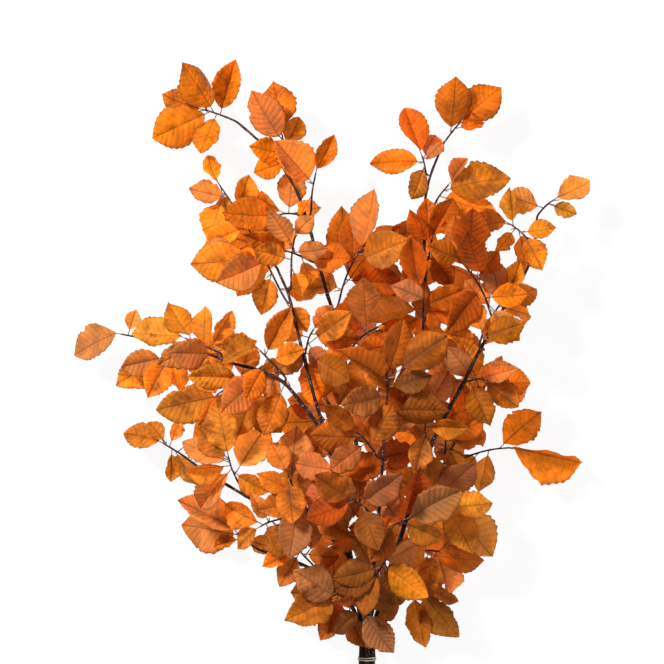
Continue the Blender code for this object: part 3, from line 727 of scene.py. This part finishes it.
class Shape:
    """A mesh in the making: points in millimetres, faces, each face's material and values for each point."""

    def __init__(self):
        self.points, self.faces, self.slots = [], [], []
        self.values = {}

    def add(self, points, faces, slot=0, **values):
        first = len(self.points)
        self.points += points
        self.faces += [tuple(first + i for i in face) for face in faces]
        self.slots += [slot] * len(faces)
        for name, each in values.items():
            self.values.setdefault(name, []).extend(each)

    def piece(self, name, materials):
        """The finished object, in metres and in the model's place."""
        mesh = bpy.data.meshes.new(name)
        mesh.from_pydata([tuple(p * MM + SHIFT) for p in self.points], [], self.faces)
        mesh.polygons.foreach_set("material_index", self.slots)
        mesh.polygons.foreach_set("use_smooth", [True] * len(self.faces))
        for value, each in self.values.items():
            layer = mesh.attributes.new(value, "FLOAT_VECTOR", "POINT")
            layer.data.foreach_set("vector", [number for vector in each for number in vector])
        for each in materials:
            mesh.materials.append(each)
        made = linked(name, mesh)
        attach(made, "root")
        return made


def frames_along(points):
    """(direction, side) at each point of a route, with the side carried along so that it never twists."""
    found, side = [], None
    for i in range(len(points)):
        along = heading_at(points, i)
        if side is None:
            side = along.orthogonal().normalized()
        side = (side - along * side.dot(along)).normalized()
        found.append((along, side))
    return found


def ring_round(point, along, side, radius, sides, flatness=1.0):
    """The corners of a bar's section."""
    other = along.cross(side)
    turns = [math.tau * k / sides for k in range(sides)]
    return [point + (side * math.cos(turn) + other * math.sin(turn) * flatness) * radius for turn in turns]


def add_tube(shape, points, radii, sides, slot=0, end_slot=None):
    """A closed round bar along points. Its ends are flat, and the first may have a material of its own."""
    rings = []
    for (along, side), point, radius in zip(frames_along(points), points, radii):
        rings += ring_round(point, along, side, radius, sides)
    shape.add(rings, skin(len(points), sides), slot)
    last = (len(points) - 1) * sides
    ends = [tuple(range(sides))[::-1], tuple(range(last, last + sides))]
    first = len(shape.points) - len(rings)
    shape.faces += [tuple(first + i for i in end) for end in ends]
    shape.slots += [slot if end_slot is None else end_slot, slot]


def add_bud(shape, draw, root, heading, length, slot):
    """A long pointed winter bud, a little bent."""
    count = 7
    bend = heading.orthogonal().normalized() * draw.uniform(-0.12, 0.12) * length
    points, radii = [], []
    for k in range(count):
        share = k / (count - 1)
        points.append(root + heading * length * share + bend * share * share)
        radii.append(length * BUD_WIDTH * (0.55 + 1.6 * share) * (1 - share) ** 0.8 + 0.08)
    add_tube(shape, points, radii, FINE_SIDES, slot)


# Blades

class Blade:
    """The drawn shape of one leaf's blade: its outline, pleats, waves and bitten places."""

    def __init__(self, leaf, draw):
        self.leaf = leaf
        self.veins = min(max(round(leaf.length / VEIN_SPACING), 5), 10)
        self.low, self.high = draw.uniform(0.66, 1.0), draw.uniform(0.72, 0.98)
        peak = self.low / (self.low + self.high)
        self.most = self.outline(peak)
        self.width = draw.uniform(0.94, 1.06)
        self.lean = draw.uniform(0.17, 0.22)
        self.pleat = draw.uniform(0.4, 1.15)
        self.wave, self.turns = draw.uniform(0.5, 2.8), draw.uniform(1.1, 3.2)
        self.phases = {-1: draw.uniform(0, math.tau), 1: draw.uniform(0, math.tau)}
        self.cup = draw.uniform(-0.1, 0.1) if draw.random() > CURLED_SHARE else draw.choice((-0.28, 0.3))
        self.bow = draw.uniform(-0.05, 0.05)
        self.ragged = draw.uniform(0.015, 0.05)
        self.turned = draw.random() < TURNED_SHARE
        self.mood = (draw.uniform(-0.45, 0.6), draw.random() ** 2, draw.uniform(-0.5, 0.5))
        self.bites = [(draw.uniform(0.25, 0.95), draw.choice((-1, 1)), draw.uniform(0.04, 0.1))
                      for _ in range(draw.choice((0, 0, 0, 1, 1, 2)))]
        self.jitter = {(j, side): draw.uniform(-1, 1)
                       for j in range(self.veins * SUBROWS + 1) for side in (-1, 1)}

    def outline(self, share):
        return max(share, 0.0) ** self.low * max(1 - share, 0.0) ** self.high

    def point(self, row, t, side):
        """(point, distance out from the midrib) for a row that follows the side veins, t of the way out."""
        foot = row / (self.veins * SUBROWS)
        edge = foot + self.lean * 4 * foot * (1 - foot)
        share = foot + (edge - foot) * t
        half = 0.5 * self.width * self.outline(edge) / self.most
        phase = foot * self.veins
        tooth = TOOTH * math.cos(math.tau * phase) * min(8 * foot * (1 - foot), 1.0)
        rough = 1 + (tooth + self.ragged * self.jitter[row, side]) * t ** 3
        for place, bite_side, size in self.bites:
            if side == bite_side and abs(edge - place) < size:
                rough -= 2.2 * size * (1 - abs(edge - place) / size) ** 0.5 * t * t
        out = t * max(half * rough, NARROWEST / self.leaf.width)
        leaf = self.leaf
        tip = TIP_POINT * share ** 22
        spot = leaf.spot(share + tip, side * out)
        ripple = 1 - abs(2 * (phase % 1.0) - 1)
        lift = self.pleat * min(ripple * 1.5, 1.0) * min(t * 5, 1.0) * (1 - 0.45 * t)
        lift += self.wave * t * t * math.sin(self.turns * math.tau * share + self.phases[side])
        lift += self.cup * leaf.width * out * out * 4
        spot = spot + leaf.face * lift + leaf.across * self.bow * leaf.length * (share - share * share) * 2
        spot.z = max(spot.z, SHEET_THICKNESS)
        return spot, out * leaf.width

    def add(self, shape, tint):
        rows = self.veins * SUBROWS
        columns = [(-1, t) for t in reversed(ACROSS)] + [(1, 0.0)] + [(1, t) for t in ACROSS]
        points, places = [], []
        for row in range(rows + 1):
            for side, t in columns:
                spot, out = self.point(row, t, side)
                points.append(spot)
                places.append((out, row / SUBROWS, t))
        width = len(columns)
        faces = [(r * width + c, (r + 1) * width + c, (r + 1) * width + c + 1, r * width + c + 1)
                 for r in range(rows) for c in range(width - 1)]
        many = len(points)
        shape.add(points, faces, 2 * self.turned, tint=[tint] * many, place=places, mood=[self.mood] * many)

    def midrib(self, share):
        """A point on the midrib."""
        return self.point(round(share * self.veins * SUBROWS), 0.0, 1)[0]


def tint_near(spot, draw):
    """The colour of a leaf at a place in the bunch: a mix of those around it, and its own draw. In the middle
    of the bunch it is darker, partly as painted shade.
    """
    total, mixed = 0.0, Vector((0, 0, 0))
    for (x, y), colour in REGION_TINTS:
        weight = 1 / (math.hypot(spot.x - x, spot.y - y) ** 3 + 1.0)
        total += weight
        mixed += Vector(colour) * weight
    mixed /= total
    outer = math.hypot((spot.x - HEART[0]) / HEART[2], (spot.y - HEART[1]) / HEART[3]) > 1
    # Inside the heart the tints are darker, partly as painted shade.
    own = draw.choice(BRIGHT_TINTS if outer else INNER_AND_SHADED_TINTS)
    mixed = mixed.lerp(Vector(own), draw.uniform(0.05, 0.5 if outer else 0.8))
    return tuple(mixed * draw.uniform(*SHADE))


# Materials

class Nodes:
    """Short calls for a material's node tree."""

    def __init__(self, name):
        self.material = bpy.data.materials.new(name)
        self.material.use_nodes = True
        self.tree = self.material.node_tree
        self.shader = self.tree.nodes["Principled BSDF"]
        self.output = self.tree.nodes["Material Output"]

    def feed(self, socket, value):
        """Links another node's output to a socket, or sets the socket's own value."""
        if isinstance(value, bpy.types.NodeSocket):
            self.tree.links.new(value, socket)
        else:
            socket.default_value = value

    def add(self, kind, inputs=None, **settings):
        node = self.tree.nodes.new(kind)
        for key, value in settings.items():
            setattr(node, key, value)
        for key, value in (inputs or {}).items():
            self.feed(node.inputs[key], value)
        return node

    def set(self, **inputs):
        """Feeds the shader's sockets, named with _ for a space."""
        for key, value in inputs.items():
            self.feed(self.shader.inputs[key.replace("_", " ")], value)

    def math(self, operation, a, b=0.0, clamp=False):
        return self.add("ShaderNodeMath", {0: a, 1: b}, operation=operation, use_clamp=clamp).outputs[0]

    def noise(self, scale, detail=3.0, roughness=0.5):
        place = self.add("ShaderNodeTexCoord").outputs["Object"]
        return self.add("ShaderNodeTexNoise", {"Vector": place, "Scale": scale, "Detail": detail,
                                               "Roughness": roughness}).outputs["Fac"]

    def ramp(self, value, *stops):
        """Colours, or grey levels, at places along value."""
        node = self.add("ShaderNodeValToRGB", {"Fac": value})
        stretch = node.color_ramp
        while len(stretch.elements) < len(stops):
            stretch.elements.new(0.5)
        for element, (place, colour) in zip(stretch.elements, stops):
            element.position = place
            element.color = (*colour, 1.0) if isinstance(colour, tuple) else (colour, colour, colour, 1.0)
        return node.outputs["Color"]

    def mix(self, factor, a, b, blend="MIX"):
        node = self.add("ShaderNodeMix", data_type="RGBA", blend_type=blend)
        for key, value in ((0, factor), (6, a), (7, b)):  # 6 and 7 are the node's colour sockets
            self.feed(node.inputs[key], (*value, 1.0) if isinstance(value, tuple) else value)
        return node.outputs[2]

    def value(self, name):
        """One of the values that the mesh carries at each point."""
        return self.add("ShaderNodeAttribute", attribute_name=name).outputs["Vector"]

    def split(self, vector):
        return self.add("ShaderNodeSeparateXYZ", {0: vector}).outputs

    def scaled(self, colour, factor):
        """The colour times a number."""
        return self.add("ShaderNodeVectorMath", {0: colour, "Scale": factor}, operation="SCALE").outputs[0]

    def bump(self, height, strength, distance):
        return self.add("ShaderNodeBump", {"Height": height, "Strength": strength,
                                           "Distance": distance}).outputs["Normal"]


def leaf_colour(nodes, across, vein):
    """The leaf's own tint, mottled and stained, and changing from midrib to margin and from base to tip."""
    flush, blotched, fade = nodes.split(nodes.value("mood"))
    mottle = nodes.ramp(nodes.noise(75.0, 4.0, 0.65), (0.3, 0.66), (0.7, 1.2))
    colour = nodes.mix(1.0, nodes.value("tint"), mottle, "MULTIPLY")
    spread = nodes.math("MULTIPLY", nodes.math("SUBTRACT", across, 0.45), flush)
    along = nodes.math("MULTIPLY", nodes.math("SUBTRACT", nodes.math("MULTIPLY", vein, 0.12), 0.5), fade)
    colour = nodes.scaled(colour, nodes.math("ADD", nodes.math("ADD", spread, along), 1.0))
    stain = nodes.math("ADD", nodes.noise(48.0, 3.0, 0.7), nodes.math("MULTIPLY", blotched, 0.13))
    colour = nodes.mix(nodes.ramp(stain, (0.56, 0.0), (0.72, 0.62)), colour, SPOT_BROWN)
    speckle = nodes.ramp(nodes.noise(420.0, 2.0, 0.6), (0.58, 0.0), (0.74, 0.6))
    return nodes.mix(speckle, colour, SPOT_BROWN)


def leaf_lines(nodes, out, vein):
    """1 on the midrib, somewhat less on a side vein, and 0 between them."""
    gap = nodes.math("DIVIDE", nodes.math("PINGPONG", vein, 0.5), VEIN_WIDTH)
    vein_line = nodes.math("SUBTRACT", 1.0, gap, clamp=True)
    midrib = nodes.math("SUBTRACT", 1.15, nodes.math("DIVIDE", out, MIDRIB_WIDTH), clamp=True)
    return nodes.math("MAXIMUM", nodes.math("MULTIPLY", vein_line, 0.75), midrib)


def leaf_rim(nodes, across):
    """1 at the margin, less in patches, and 0 inside it."""
    rim = nodes.math("MULTIPLY", nodes.math("SUBTRACT", across, RIM_START), 12.0, clamp=True)
    return nodes.math("MULTIPLY", rim, nodes.ramp(nodes.noise(90.0, 2.0), (0.4, 0.35), (0.62, 1.0)))


def leaf_material(name, underside):
    """A blade with its veins, a darker rim, a crinkled surface and light through it."""
    nodes = Nodes(name)
    out, vein, across = nodes.split(nodes.value("place"))
    colour = leaf_colour(nodes, across, vein)
    if underside:
        colour = nodes.mix(0.4, colour, UNDERSIDE)
    lines = leaf_lines(nodes, out, vein)
    vein_colour = nodes.mix(0.35, VEIN_BROWN, colour)
    colour = nodes.mix(nodes.math("MULTIPLY", lines, 0.5), colour, vein_colour)
    colour = nodes.mix(nodes.math("MULTIPLY", leaf_rim(nodes, across), 0.7), colour, RIM_BROWN)
    crinkle = nodes.math("MULTIPLY", nodes.noise(230.0, 5.0, 0.65), 1.6)
    height = nodes.math("SUBTRACT", crinkle, nodes.math("MULTIPLY", lines, 0.5))
    nodes.set(Base_Color=colour, Roughness=0.6 if underside else 0.42, Specular_IOR_Level=0.12,
              Normal=nodes.bump(height, 0.75, 0.0011))
    through = nodes.add("ShaderNodeGamma", {"Color": colour, "Gamma": THROUGH_GAMMA}).outputs[0]
    glow = nodes.add("ShaderNodeBsdfTranslucent", {"Color": through}).outputs[0]
    mixed = nodes.add("ShaderNodeMixShader", {0: LIGHT_THROUGH, 1: nodes.shader.outputs[0], 2: glow})
    nodes.tree.links.new(mixed.outputs[0], nodes.output.inputs["Surface"])
    return nodes.material


def bark_material():
    """Dark bark with pale pores."""
    nodes = Nodes("bark")
    colour = nodes.ramp(nodes.noise(160.0, 5.0, 0.6), (0.3, (0.012, 0.005, 0.004)),
                        (0.55, (0.036, 0.014, 0.01)), (0.75, (0.09, 0.045, 0.03)))
    place = nodes.add("ShaderNodeTexCoord").outputs["Object"]
    cells = nodes.add("ShaderNodeTexVoronoi", {"Vector": place, "Scale": 260.0, "Randomness": 1.0})
    dots = nodes.ramp(cells.outputs["Distance"], (0.16, 1.0), (0.24, 0.0))
    colour = nodes.mix(nodes.math("MULTIPLY", dots, 0.7), colour, (0.42, 0.29, 0.2))
    height = nodes.math("ADD", nodes.math("MULTIPLY", dots, 0.6), nodes.noise(700.0, 4.0))
    nodes.set(Base_Color=colour, Roughness=0.6, Specular_IOR_Level=0.15,
              Normal=nodes.bump(height, 0.5, 0.0004))
    return nodes.material


def streaked_material(name, dark, light, scale, roughness):
    """A small part in two close colours, with a fine grain."""
    nodes = Nodes(name)
    grain = nodes.noise(scale, 3.0)
    nodes.set(Base_Color=nodes.ramp(grain, (0.32, dark), (0.68, light)), Roughness=roughness,
              Normal=nodes.bump(grain, 0.3, 0.0003))
    return nodes.material


# Wood and ties

def grown_route(limb, draw, step, sway):
    """The limb's route in short steps, with a slight zigzag from node to node."""
    count = max(int(limb.length / step), 6)
    points = rounded(limb.points, count)
    turns = [draw.uniform(0.6, 1.4) * (1 if k % 2 else -1) for k in range(count)]
    route = []
    for k, (point, (along, side)) in enumerate(zip(points, frames_along(points))):
        ease = min(k, count - 1 - k, 4) / 4
        place = k * step / NODE_SPACING
        i = int(place) % count
        swing = turns[i] + (turns[(i + 1) % count] - turns[i]) * (place - int(place))
        route.append(point + side * swing * sway * ease)
    return route


def grown_radii(limb, count, draw):
    """The limb's radii with a swelling at each node."""
    length = limb.length
    offset = draw.uniform(0, NODE_SPACING)
    radii = []
    for k in range(count):
        share = k / (count - 1)
        place = ((share * length + offset) % NODE_SPACING) / NODE_SPACING
        swell = 1 + 0.16 * math.exp(-((place - 0.5) * 9) ** 2)
        radii.append(limb.radius(share) * swell * draw.uniform(0.97, 1.03))
    return radii


def stem_piece(name, limbs, draw, materials):
    """A stem with its forks, nodes, buds and cut end."""
    shape = Shape()
    step, sway, sides = STEM_GRAIN
    own = [name] + [fork for fork, (parent, _, _) in FORKS.items() if parent == name]
    for limb_name in own:
        limb = limbs[limb_name]
        route = grown_route(limb, draw, step, sway)
        if limb_name == name:
            route[0], route[-1] = limb.points[0], limb.points[-1]
        radii = grown_radii(limb, len(route), draw)
        add_tube(shape, route, radii, sides, 0, end_slot=1)
        for k in range(len(route) // BUD_EVERY + 2, len(route) - 4, BUD_EVERY):
            along = (route[k + 1] - route[k]).normalized()
            out = Matrix.Rotation(draw.uniform(0, math.tau), 3, along) @ along.orthogonal().normalized()
            if route[k].y >= LOWEST_BUD and out.z >= -0.3:
                root = route[k] + out * radii[k] * 0.7
                add_bud(shape, draw, root, (out + along * 1.3).normalized(), draw.uniform(*STEM_BUDS), 2)
    made = shape.piece(f"{name}_bark", materials)
    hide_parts(f"{name}_stem")


def shoot_pieces(shoot, draw, wood, leaf):
    """A twig with its stalks and buds, and its blades."""
    blades, twig = Shape(), Shape()
    step, sway, sides = TWIG_GRAIN
    route = grown_route(shoot.twig, draw, step, sway)
    add_tube(twig, route, grown_radii(shoot.twig, len(route), draw), sides)
    for each in shoot.leaves:
        blade = Blade(each, draw)
        blade.add(blades, tint_near(each.middle, draw))
        add_stalk(twig, each, blade)
        if draw.random() < BUD_SHARE:
            aside = direction(draw.uniform(0, 360), 40) * 0.7
            heading = ((each.base - each.root).normalized() + aside).normalized()
            add_bud(twig, draw, each.root + heading * 0.8, heading, draw.uniform(*STALK_BUDS), 2)
    wood_piece = twig.piece(f"{shoot.name}_twig", wood)
    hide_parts(shoot.name)
    blade_piece = blades.piece(f"{shoot.name}_leaves", leaf)
    thick = blade_piece.modifiers.new("sheet", "SOLIDIFY")
    thick.thickness = SHEET_THICKNESS * MM
    thick.offset = 0.0
    thick.material_offset = 1
    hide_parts(shoot.name)


def add_stalk(shape, leaf, blade):
    """The leaf's stalk, and the midrib that carries on from it under the blade."""
    sag = Vector((0, 0, -0.04)) * (leaf.base - leaf.root).length
    route = [leaf.root, leaf.root.lerp(leaf.base, 0.35) + sag, leaf.root.lerp(leaf.base, 0.7) + sag]
    radii = list(STALK_RADII)
    for k in range(MIDRIB_STATIONS):
        share = MIDRIB_REACH * k / (MIDRIB_STATIONS - 1)
        route.append(blade.midrib(share) - leaf.face * MIDRIB_DROP)
        radii.append(0.55 - 0.42 * share)
    for point in route:
        point.z = max(point.z, 0.5)
    add_tube(shape, route, radii, FINE_SIDES, 1)


def tie_piece(name, along, materials):
    """A band wound twice round the stems, its turns closer together on one side than on the other."""
    shape = Shape()
    ring = tie_route(along)
    for turn, lean in enumerate((-1.0, 1.0)):
        centre = bundle_place("tall_left", along)
        route = []
        for k, point in enumerate(ring):
            angle = math.tau * k / len(ring)
            inward = (centre - point).normalized()
            route.append(point + inward * 0.3 + Vector((0, lean * (0.9 + 0.6 * math.sin(angle + turn)), 0)))
        add_ring(shape, rounded([*route, route[0]], BAND_STATIONS + 1)[:-1])
    made = shape.piece(f"{name}_band", materials)
    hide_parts(name)


def add_ring(shape, points):
    """A band along a closed route."""
    count = len(points)
    rings = []
    for i in range(count):
        along = (points[(i + 1) % count] - points[i - 1]).normalized()
        side = Vector((0, 1, 0))
        side = (side - along * side.dot(along)).normalized()
        rings += ring_round(points[i], along, side, BAND_RADIUS, BAND_SIDES, BAND_FLATNESS)
    corners = len(rings)
    shape.add(rings, [tuple(i % corners for i in face) for face in skin(count + 1, BAND_SIDES)])


# Studio

def add_floor():
    """A white floor that glows a little."""
    mesh = bpy.data.meshes.new("floor")
    corners = [(x * FLOOR_REACH, y * FLOOR_REACH, FLOOR) for x, y in ((-1, -1), (1, -1), (1, 1), (-1, 1))]
    mesh.from_pydata(corners, [], [(0, 1, 2, 3)])
    floor = linked("floor", mesh)
    paper = Nodes("paper")
    paper.set(Base_Color=FLOOR_COLOUR, Roughness=0.9, Specular_IOR_Level=0.0,
              Emission_Color=WHITE, Emission_Strength=FLOOR_GLOW)
    mesh.materials.append(paper.material)


def add_lamp(name, place, turn, size, power):
    lamp = bpy.data.lights.new(name, "AREA")
    lamp.size, lamp.energy = size, power
    holder = linked(name, lamp, place)
    holder.rotation_euler = turn
    return holder


def add_lights():
    """Faint light from all round, two soft lamps, and a wide lamp on the floor that shines up."""
    world = bpy.data.worlds.new("studio")
    world.use_nodes = True
    background = world.node_tree.nodes["Background"]
    background.inputs["Color"].default_value = WHITE
    background.inputs["Strength"].default_value = WORLD_LIGHT
    bpy.context.scene.world = world
    for name, place, size, power in SOFT_LIGHTS:
        turn = (-Vector(place)).to_track_quat("-Z", "Y").to_euler()
        add_lamp(name, AIM + Vector(place), turn, size, power)
    upward = (math.pi, 0, 0)
    table = add_lamp("light_table", (AIM.x, AIM.y, FLOOR + TABLE_LIFT), upward, TABLE_SIZE, TABLE_POWER)
    table.visible_camera = False


def add_camera():
    """A camera straight above the bunch."""
    camera = bpy.data.cameras.new("camera")
    camera.lens, camera.sensor_width = LENS, SENSOR
    camera.clip_end = FARTHEST
    bpy.context.scene.camera = linked("camera", camera, AIM + Vector((0, 0, CAMERA_HEIGHT)))
    bpy.context.scene.view_settings.view_transform = "Standard"


def check_place(shoots):
    """Stops if the layout here isn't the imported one."""
    for shoot in shoots:
        low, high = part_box(shoot.name)
        corners = [c * MM + SHIFT for leaf in shoot.leaves for c in leaf.corners]
        corners += [p * MM + SHIFT for p in shoot.twig.points]
        for axis in range(3):
            values = [corner[axis] for corner in corners]
            off = max(abs(min(values) - low[axis]), abs(max(values) - high[axis]))
            if off > PLACE_TOLERANCE:
                raise ValueError(f"{shoot.name} isn't where the packed model has it")


def main():
    limbs, shoots = grown_bunch()
    check_place(shoots)
    draw = random.Random(LOOKS_SEED)
    bark = bark_material()
    stalk = streaked_material("stalk", (0.12, 0.025, 0.01), (0.26, 0.07, 0.025), 500.0, 0.5)
    bud = streaked_material("bud", (0.16, 0.06, 0.03), (0.34, 0.15, 0.07), 900.0, 0.5)
    cut_wood = streaked_material("cut_wood", (0.5, 0.32, 0.17), (0.72, 0.52, 0.31), 1500.0, 0.7)
    band = streaked_material("band", (0.5, 0.52, 0.36), (0.66, 0.67, 0.5), 300.0, 0.4)
    upper, under = leaf_material("leaf_upper", False), leaf_material("leaf_under", True)
    leaf = [upper, under, under, upper]  # a turned blade's sides are the last two
    for name in STEMS:
        stem_piece(name, limbs, draw, [bark, cut_wood, bud])
    for shoot in shoots:
        shoot_pieces(shoot, draw, [bark, stalk, bud], leaf)
    for name, along in TIES.items():
        tie_piece(name, along, [band])
    add_floor()
    add_lights()
    add_camera()


main()
